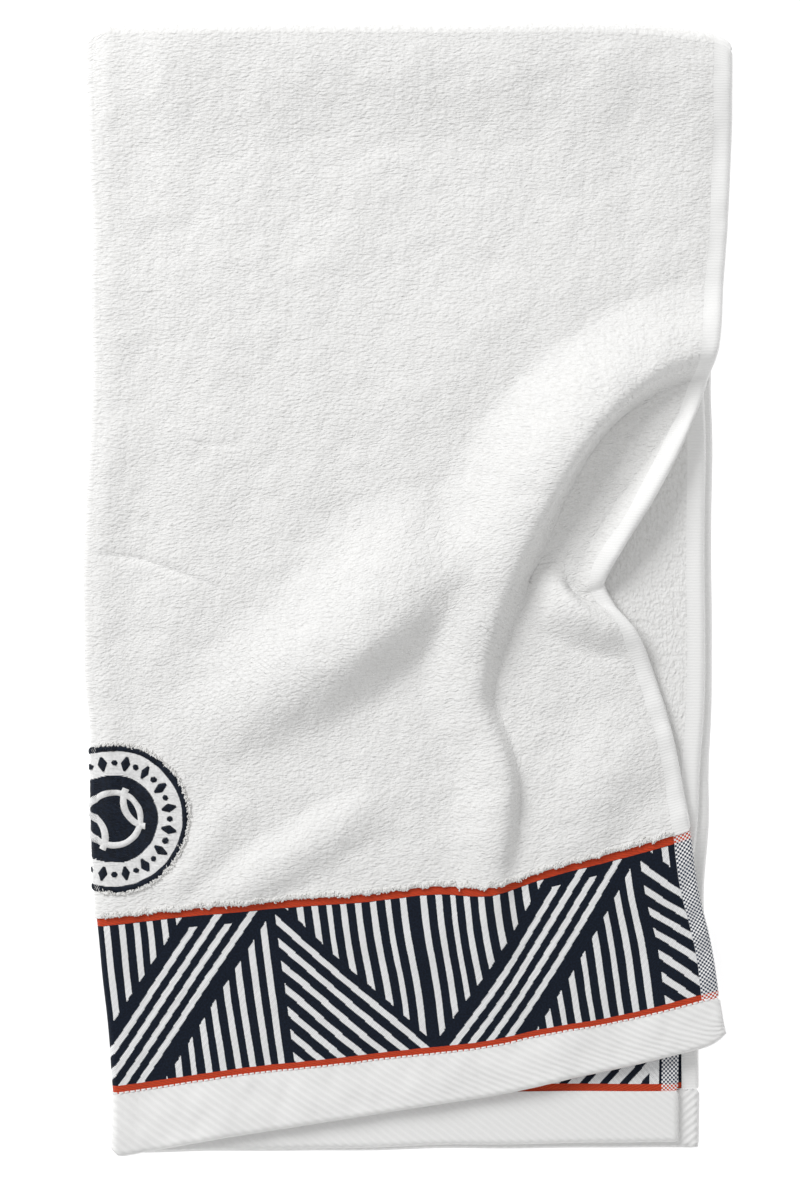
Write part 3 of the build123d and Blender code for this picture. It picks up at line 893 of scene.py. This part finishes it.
def cloth_material(name, roughness, sheen):
    """A new cloth material: its node helper and its shader."""
    material = bpy.data.materials.new(name)
    material.use_nodes = True
    tree = material.node_tree
    tree.nodes.clear()
    n = Nodes(tree)
    shader = tree.nodes.new("ShaderNodeBsdfPrincipled")
    shader.inputs["Roughness"].default_value = roughness
    shader.inputs["Specular IOR Level"].default_value = 0.25
    shader.inputs["Sheen Weight"].default_value = sheen
    shader.inputs["Sheen Roughness"].default_value = 0.5
    output = tree.nodes.new("ShaderNodeOutputMaterial")
    tree.links.new(shader.outputs["BSDF"], output.inputs["Surface"])
    return material, n, shader


def finish_with(n, shader, base, height, depth):
    """Colour and relief of a cloth; depth is the relief's size in millimetres."""
    n.join(base, shader.inputs["Base Color"])
    bump = n.add("ShaderNodeBump", Height=height, Strength=1.0, Distance=depth * MM)
    n.join(bump.outputs["Normal"], shader.inputs["Normal"])


def terry_material(name, loop_width, row_pitch, waver, relief, light, deep):
    material, n, shader = cloth_material(name, 0.95, 0.35)
    loops = place_group(n, LOOPS, Place=cloth_place(n)[2], Loop_Width=loop_width,
                        Row_Pitch=row_pitch, Waver=waver)
    # painted shade: the pile is darkened between its loops, where shade falls
    shade = Value(n, loops.outputs["Depth"]) * 0.55
    finish_with(n, shader, n.mix(shade, light, deep), loops.outputs["Height"], relief)
    return material


REPEAT = 147.0                            # the border's pattern as drawn, before its stretch
WOVEN_REPEAT = 156.0                      # and as woven
REPEAT_START = 73.7                       # from the side fold's seam to the start of a repeat


def border_pattern(n, across, q):
    """Where the border's white stripes lie: fans of stripes between slanting bundles."""
    b = n.math("FLOORED_MODULO", across, REPEAT)

    # stripes that run down to the right from the upright bar
    below_bar = q - b * 1.13
    fan = n.both(n.stripe(below_bar - 2.4, 9.4, 3.9), below_bar > 0.3, b > 1.6)
    # hanging upright stripes each side of a dark middle
    from_middle = abs(b - 57.4)
    reach = n.math("MINIMUM", (b - 6.2) * 1.2, (110.4 - b) * 1.16)
    hanging = n.both(n.stripe(from_middle - 3.9, 5.95, 2.5), from_middle > 2.2, q < reach)
    # a bundle of four that runs up to the right, every second one cut short at the top
    lean = b + q / 1.18
    in_bundle = abs(lean - 129.1) < 14.2
    long_ones = n.both(n.stripe(lean - 125.5, 14.4, 3.3), in_bundle)
    short_ones = n.both(n.stripe(lean - 118.3, 14.4, 3.3), in_bundle, q > 4.2)
    # upright stripes that grow towards the next bar
    tops = (147.6 - b) * 1.23 + 0.6
    growing = n.both(n.stripe(b - 143.3, 5.83, 2.5), q > tops, b < 145.0)
    inside = n.both(q > 0.0, q < V_WOVEN_END - V_WOVEN)
    return n.both(n.either(fan, hanging, long_ones, short_ones, growing), inside)


def border_material(name, reverse):
    """The patterned border, or its reverse face, where the white yarn floats wide."""
    material, n, shader = cloth_material(name, 0.9, 0.03)
    across, along, place_on = cloth_place(n)
    yarn, twist_pitch = 0.46, 0.95
    ragged = (n.noise(place_on, 1.6, 1.0) - 0.5) * 0.35
    b = (n.math("SNAP", across + ragged, yarn) - REPEAT_START) * (REPEAT / WOVEN_REPEAT)
    white = border_pattern(n, b, n.math("SNAP", along + ragged, yarn) - V_WOVEN)
    navy = n.mix(n.ramp(n.noise(place_on, 1.3, 3.0), 0.35, 0.7), NAVY, NAVY_LIT)
    # painted shade: the white yarn is darkened along the grooves of its twist
    twist = n.sine(across + along, twist_pitch)
    white_with_painted_shade = n.mix(n.ramp(twist, -1.0, 0.6), WHITE_YARN_PAINTED_SHADE, WHITE_YARN)
    if reverse:
        white = 1.0 - white
    height = weave_height(n, across, along, 0.7) * 0.35 + white * 0.8 + white * twist * 0.25
    finish_with(n, shader, n.mix(white, navy, white_with_painted_shade), height, 0.22)
    return material


def plain_weave_material(name, light, deep, yarn, rib_pitch, rib_slope, relief):
    """A flat weave with ribs that run at a slope, its colour darkened from light to deep in the rib
    troughs as painted shade.
    """
    material, n, shader = cloth_material(name, 0.9, 0.2)
    across, along, place_on = cloth_place(n)
    rib = n.sine(along - across * rib_slope + n.noise(place_on, 0.5, 2.0) * 0.8, rib_pitch)
    # painted shade: the colour goes towards deep in the troughs between the ribs
    base = n.mix(n.ramp(rib, 0.2, -1.0) * 0.3, light, deep)
    finish_with(n, shader, base, rib + weave_height(n, across, along, yarn) * 0.4, relief)
    return material


def check_material(name):
    """Tiny navy and white checks, red and white beside the red lines."""
    material, n, shader = cloth_material(name, 0.9, 0.15)
    across, along, _ = cloth_place(n)
    size = 0.85
    square = n.math("FLOOR", across / size) + n.math("FLOOR", along / size)
    white = n.math("FLOORED_MODULO", square, 2.0) > 0.5
    inside = n.both(along > V_WOVEN, along < V_WOVEN_END)
    base = n.mix(white, n.mix(inside, RED_YARN, NAVY_WORN), WHITE_YARN)
    finish_with(n, shader, base, weave_height(n, across, along, 1.9), 0.15)
    return material


def yarn_material(name, light, deep, sheen=0.2):
    """Sewing and embroidery thread, a little uneven along its length."""
    material, n, shader = cloth_material(name, 0.6, sheen)
    where = n.add("ShaderNodeTexCoord")
    noise = n.noise(where.outputs["Object"], 900.0, 2.0)
    base = n.mix(n.ramp(noise, 0.35, 0.65), deep, light)
    finish_with(n, shader, base, noise, 0.05)
    return material


# the terry's deep colour is painted shade between the loops
terry_face = terry_material("terry_face", 1.9, 0.95, 1.6, 0.30, COTTON, COTTON_PAINTED_SHADE)
terry_reverse = terry_material("terry_reverse", 1.35, 1.75, 0.5, 0.36, COTTON, COTTON_PAINTED_SHADE)
border_face = border_material("border_face", False)
border_reverse = border_material("border_reverse", True)
# the second colour of each plain weave is painted shade in its rib troughs
red_weave = plain_weave_material("red_weave", RED_YARN, RED_YARN_PAINTED_SHADE, 0.8, 1.1, 0.4, 0.14)
# on the hems the plain cotton colour is the painted shade in the rib troughs
hem_ribs = plain_weave_material("hem_ribs", HEM_COTTON, COTTON, 0.7, 3.6, 0.85, 0.11)
hem_reverse = plain_weave_material("hem_reverse", HEM_COTTON, COTTON, 0.7, 3.6, -0.85, 0.11)
hem_flat = plain_weave_material("hem_flat", HEM_COTTON, COTTON, 0.8, 1.2, 0.0, 0.03)
check_weave = check_material("check_weave")
white_thread = yarn_material("white_thread", THREAD_WHITE, THREAD_DEEP)
navy_thread = yarn_material("navy_thread", NAVY_LIT, NAVY, 0.03)
loop_yarn = yarn_material("loop_yarn", COTTON, LOOP_DEEP, 0.3)


# ---- the cloth -----------------------------------------------------------------------------------
UNDER_TOP_LAYER = (0, 0, 3 * STEP * MM)


def press_flat(piece):
    """Give the piece a mesh of its own. Opened out, the raised top layer would lie underneath; this
    does not press it flat.
    """
    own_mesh(piece)


def declare(size):
    """Turn the size a piece of cloth was cut to into metres; the result is not used."""
    flat = (size[0] * MM, size[1] * MM)


def stand_for(piece, node):
    """Show a piece in place of a CAD node, which is hidden."""
    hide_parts(node)
    return piece


def hem_spans(outer_width, inner_width):
    """Where the two side hems of a half lie across its cloth, and which edge of each is free."""
    inner_edge = -FOLD_ARC - inner_width
    return {
        "outer": ((outer_width - SIDE_HEM, outer_width), ("high",)),
        "inner": ((inner_edge, inner_edge + SIDE_HEM), ("low",)),
    }


def make_side_hems():
    """Flat hems along the four side edges, and their turns at the end fold."""
    front_spans = hem_spans(OUTER_WIDTH, INNER_WIDTH)
    halves = {
        "front": (True, front_spans, FINE_STEP),
        "back": (False, hem_spans(BACK_WIDTH, BACK_WIDTH), COARSE_STEP),
    }
    tapes = {}
    for half, (front, spans, step) in halves.items():
        for which, (span, free) in spans.items():
            node = f"{half}_{which}_side_hem"
            piece = zone_piece(
                node + "_tape", front, span, (0, V_TERRY), None, [hem_flat], step, free
            )
            tapes[node] = stand_for(piece, node)
    press_flat(tapes["front_outer_side_hem"])
    for which, (span, free) in front_spans.items():
        name = f"end_fold_{which}_side_hem"
        piece = end_fold_piece(name, span, None, [hem_flat], NARROW_STEP, free)
        tapes[f"end_fold_{which}"] = piece
    return tapes


def make_terry(tapes):
    """Looped cloth of both halves and round both folds."""
    faces = [terry_face, terry_reverse]
    inner = INNER_WIDTH - SIDE_HEM
    outer = OUTER_WIDTH - SIDE_HEM
    back = BACK_WIDTH - SIDE_HEM

    top = zone_piece("front_terry_top", True, (0, outer), (0, V_TERRY), TERRY, faces, FINE_STEP)
    press_flat(top)
    declare((outer, V_TERRY))

    under = zone_piece(
        "front_terry_under", True, (-FOLD_ARC - inner, 0), (0, V_TERRY), TERRY, faces, FINE_STEP
    )
    stand_for(under, "front_terry")
    declare((inner + FOLD_ARC, V_TERRY))

    below = zone_piece(
        "back_terry_cloth", False, (-FOLD_ARC - back, back), (0, V_TERRY), TERRY, faces,
        COARSE_STEP
    )
    stand_for(below, "back_terry")
    declare((2 * back + FOLD_ARC, V_TERRY))

    around = (-FOLD_ARC - inner, outer)
    turn = end_fold_piece("end_fold_terry", around, TERRY, faces, END_FOLD_STEP)
    width = outer + inner + FOLD_ARC
    declare((width, end_fold_area(around) / width))


def make_border(half):
    """Red lines, patterned border, chequered edges and end hem of one half."""
    front = half == "front"
    outer = OUTER_WIDTH if front else BACK_WIDTH
    inner = INNER_WIDTH if front else BACK_WIDTH
    span = (-FOLD_ARC - inner + SIDE_HEM, outer - SIDE_HEM)
    full = (-FOLD_ARC - inner, outer)

    lines = {"upper_red_line": (V_TERRY, V_WOVEN), "lower_red_line": (V_WOVEN_END, V_RED_END)}
    for name, ends in lines.items():
        line = zone_piece(f"{half}_{name}_cloth", front, span, ends, WEAVE, [red_weave], WOVEN_STEP)
        stand_for(line, f"{half}_{name}")
    for which, (edge, free) in hem_spans(outer, inner).items():
        weave = hem_flat if (half, which) == ("back", "inner") else check_weave
        strip = zone_piece(f"{half}_{which}_check_edge_cloth", front, edge, (V_TERRY, V_RED_END),
                           CHECK, [weave], NARROW_STEP, free)
        stand_for(strip, f"{half}_{which}_check_edge")

    woven = zone_piece(f"{half}_woven_border_cloth", front, span, (V_WOVEN, V_WOVEN_END), WEAVE,
                       [border_face, border_reverse], WOVEN_STEP)
    stand_for(woven, f"{half}_woven_border")
    declare((span[1] - span[0], V_WOVEN_END - V_WOVEN))

    hem = zone_piece(f"{half}_end_hem_cloth", front, full, (V_RED_END, V_HEM), HEM,
                     [hem_ribs, hem_reverse], WOVEN_STEP, ("end", "low", "high"))
    stand_for(hem, f"{half}_end_hem")
    # short stitches that bite the red line's lower edge
    stitch_line = V_RED_END - 0.35
    stitching = stitches(
        f"{half}_hem_stitches", front, (full[0] + 1, stitch_line), (full[1] - 1, stitch_line),
        length=1.5, pitch=2.4, radius=0.42, material=white_thread, lift=-0.5
    )
    stand_for(stitching, f"{half}_hem_stitching")
    declare((full[1] - full[0], V_HEM - V_RED_END))


make_terry(make_side_hems())
make_border("back")
make_border("front")


# ---- the crest -----------------------------------------------------------------------------------
RIM_OUTER, RIM_INNER, DISC = 29.6, 27.0, 17.6     # radii of the badge's rings
CREST_X = frame_box("crest_rim")[1][0] - RIM_OUTER
CREST_Y = (frame_box("crest_rim")[0][1] + frame_box("crest_rim")[1][1]) / 2
BALL, BALL_SEAM = 10.5, 2.3               # the ball's radius and the width of its lines
SEAM_SWING, SEAM_TURN = 55.0, 28          # degrees: half the length of a seam, and its slant
FILL_PITCH, SATIN_PITCH = 0.42, 0.36
MARKS = 32


def crest_to_cloth(dx, dy):
    """Cloth distances under a point of the crest, from its centre; left of the fold it wraps."""
    dx, dy = np.asarray(dx, float), np.asarray(dy, float)
    x, y = CREST_X + dx, CREST_Y + dy
    left_x = SEAM + fold_lean(y)
    u = np.maximum((x - left_x) / 0.95, 0.0)
    v = ROLL_START - y + 0.12 * (x - left_x)
    for _ in range(6):
        here = half_surface(True, u, v)
        u = np.maximum(u + (x - here[..., 0]) * 0.9, 0.0)
        v = v - (y - here[..., 1]) * 0.9
    over = half_surface(True, np.zeros_like(x), v)[..., 0] - x
    return np.where(over > 0, -over, u), v


def crest_threads(name, dx, dy, lift, radius, material, node=None):
    """Embroidery threads from arrays of stitches by points, split where the fold turns."""
    u, v = crest_to_cloth(dx, dy)
    points = place(True, u, v, lift)
    turned = u.min(axis=1) < 0.2
    for part, chosen in (("", ~turned), ("_turn", turned)):
        if chosen.any():
            piece = threads(name + part, points[chosen], radius, material, 5)
            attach(piece, "front_half")
            if part == "":
                press_flat(piece)
                if node:
                    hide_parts(node)


def satin(path, width, pitch, bulge, points=5):
    """Stitches straight across a path in the crest's plane: their x, y and lift."""
    path = np.asarray(path, float)
    steps = np.linalg.norm(np.diff(path, axis=0), axis=1)
    length = np.concatenate([[0], np.cumsum(steps)])
    at = np.arange(pitch / 2, length[-1], pitch)
    centre, ahead, behind = (
        np.stack([np.interp(spot, length, path[:, i]) for i in (0, 1)], 1)
        for spot in (at, at + 0.05, at - 0.05)
    )
    side = left_hand(unit(ahead - behind))
    across = np.linspace(-0.5, 0.5, points)
    wide = np.broadcast_to(width, at.shape) if np.ndim(width) == 0 else np.interp(
        at / length[-1], np.linspace(0, 1, len(width)), width)
    spots = centre[:, None, :] + side[:, None, :] * (across[None, :] * wide[:, None])[..., None]
    lift = bulge * np.sqrt(1 - (2 * across) ** 2)[None, :] + 0 * spots[..., 0]
    return spots[..., 0], spots[..., 1], lift


def fill_rows(inner, outer, pitch, stitch, points=5):
    """Rows of short stitches that fill a ring or a disc, staggered row by row."""
    rows_x, rows_y = [], []
    rng = np.random.default_rng(31)
    for number, y in enumerate(np.arange(-outer + pitch, outer, pitch)):
        reach = math.sqrt(outer**2 - y**2)
        hole = math.sqrt(inner**2 - y**2) if abs(y) < inner else 0.0
        spans = [(-reach, -hole), (hole, reach)] if hole else [(-reach, reach)]
        for low, high in spans:
            marks = np.arange(low - (number % 4) * stitch / 4, high, stitch)
            marks = np.clip(np.append(marks, high), low, high)
            for a, b in zip(marks[:-1], marks[1:]):
                if b - a > 0.25:
                    wander = rng.normal(0, 0.03, 2)
                    rows_x.append(np.linspace(a, b, points))
                    rows_y.append(y + np.linspace(wander[0], wander[1], points))
    arch = np.sqrt(1 - np.linspace(-0.98, 0.98, points) ** 2)
    return np.array(rows_x), np.array(rows_y), arch[None, :] * 0.12 + 0 * np.array(rows_x)


def arc(radius, start, end, count):
    """Points on an arc about the crest's centre, between two angles in degrees."""
    turns = np.radians(np.linspace(start, end, count))
    return np.stack([radius * np.cos(turns), radius * np.sin(turns)], 1)


def make_crest():
    """A round badge: navy rim, white ring with small marks, and a navy disc with a ball."""
    x, y, lift = fill_rows(DISC - 0.3, RIM_INNER + 0.4, FILL_PITCH, 3.4)
    crest_threads("crest_ring_stitches", x, y, lift + 0.18, 0.25, white_thread,
                  "crest_ring")
    x, y, lift = fill_rows(0.0, DISC, FILL_PITCH, 3.0)
    crest_threads("crest_disc_stitches", x, y, lift + 0.26, 0.25, navy_thread,
                  "crest_centre")
    x, y, lift = satin(arc((RIM_OUTER + RIM_INNER) / 2, 0, 360, count=400), 2.7, 0.4, 0.7)
    crest_threads("crest_rim_stitches", x, y, lift + 0.05, 0.24, navy_thread,
                  "crest_rim")

    # a plain ball with two seams
    parts = [satin(arc(BALL, 0, 360, count=200), BALL_SEAM, SATIN_PITCH, 0.45)]
    cosine, sine = math.cos(math.radians(SEAM_TURN)), math.sin(math.radians(SEAM_TURN))
    for side in (-1, 1):
        seam = arc(BALL, -SEAM_SWING, SEAM_SWING, count=80)
        seam = np.stack([side * (BALL * 1.5 - seam[:, 0]), seam[:, 1]], 1)
        seam = seam @ np.array([[cosine, sine], [-sine, cosine]])
        parts.append(satin(seam, BALL_SEAM, SATIN_PITCH, 0.45))
    x, y, lift = (np.concatenate(values) for values in zip(*parts))
    crest_threads("crest_ball_stitches", x, y, lift + 0.52, 0.22, white_thread,
                  "crest_motif")

    # small lozenges and dots round the ring
    parts = []
    middle = (DISC + RIM_INNER) / 2
    for number in range(MARKS):
        angle = math.radians(number * 360 / MARKS)
        long = 2.9 if number % 2 else 1.1
        wide = [0.6, 2.2, 3.6, 2.2, 0.6] if number % 2 else [1.0, 2.6, 1.0]
        spoke = np.array([middle - long, middle + long])[:, None]
        spoke = spoke * np.array([[math.cos(angle), math.sin(angle)]])
        parts.append(satin(spoke, wide, SATIN_PITCH, 0.4))
    x, y, lift = (np.concatenate(values) for values in zip(*parts))
    crest_threads("crest_mark_stitches", x, y, lift + 0.42, 0.2, navy_thread)


def stray_loops(name, front, u, v, height, seed):
    """Loops of the pile that stand free of it, at (u, v) on a half's outward face."""
    points = place(front, u, v, -0.25)
    out = half_outward(front, u, v)
    heading = unit(place(front, u, v + 0.5, -0.25) - points)
    piece = loops_at(name, points, out, heading, height, 1.1, 0.27, loop_yarn, seed)
    on_half(piece, front)
    press_flat(piece)


def make_loops():
    """Free loops where the pile ends and round the crest."""
    rng = np.random.default_rng(71)
    span = OUTER_WIDTH - SIDE_HEM
    u = rng.uniform(0.3, span, 1900)
    ragged = 0.45 * lumps(u, 0 * u, 5, 12)
    v = V_TERRY - 0.9 + ragged + rng.normal(0, 0.35, u.size)
    stray_loops("border_edge_loops", True, u, v, 0.7, 3)

    turns = rng.uniform(-math.pi, math.pi, 900)
    radius = RIM_OUTER + rng.normal(0.25, 0.3, turns.size)
    u, v = crest_to_cloth(radius * np.cos(turns), radius * np.sin(turns))
    kept = u > 0.3
    stray_loops("crest_edge_loops", True, u[kept], v[kept], 0.9, 5)


make_crest()
make_loops()


# ---- floor, light and camera ---------------------------------------------------------------------
def make_stage():
    """A plain pale floor, a large soft lamp from the upper left and an even sky."""
    reach = 12000.0
    corners = [(-reach, -reach, 0), (reach, -reach, 0), (reach, reach, 0), (-reach, reach, 0)]
    floor = new_object("floor", corners, [(0, 1, 2, 3)], [], False)
    material = bpy.data.materials.new("floor")
    material.use_nodes = True
    shader = material.node_tree.nodes["Principled BSDF"]
    shader.inputs["Base Color"].default_value = colour(0.55, 0.55, 0.55)
    shader.inputs["Roughness"].default_value = 1.0
    shader.inputs["Emission Color"].default_value = colour(1, 1, 1)
    shader.inputs["Emission Strength"].default_value = 0.72
    floor.data.materials.append(material)

    world = bpy.data.worlds.new("sky")
    world.use_nodes = True
    world.node_tree.nodes["Background"].inputs["Color"].default_value = colour(1.0, 1.0, 1.0)
    world.node_tree.nodes["Background"].inputs["Strength"].default_value = 0.56
    bpy.context.scene.world = world

    lamp = bpy.data.lights.new("window", "AREA")
    lamp.shape = "SQUARE"
    lamp.size = 0.9
    lamp.energy = 26.8
    window = add_object("window", lamp)
    window.location = (-1.1, 1.2, 1.25)
    aim(window, (0, 0, 0))


def aim(thing, target):
    """Turn a lamp or camera to look at a point."""
    direction = Vector(target) - thing.location
    thing.rotation_euler = direction.to_track_quat("-Z", "Y").to_euler()


def make_camera():
    """Straight above the towel, its long side upright in the frame."""
    lens = bpy.data.cameras.new("camera")
    lens.lens = 85.0
    lens.sensor_width = 36.0
    camera = add_object("camera", lens)
    frame_height, cloth_height = 0.4812, 0.012
    distance = frame_height * lens.lens / lens.sensor_width
    camera.location = (-0.0033, -0.0058, cloth_height + distance)
    camera.rotation_euler = (0, 0, 0)
    bpy.context.scene.camera = camera


make_stage()
make_camera()
bpy.context.scene.view_settings.view_transform = "Standard"
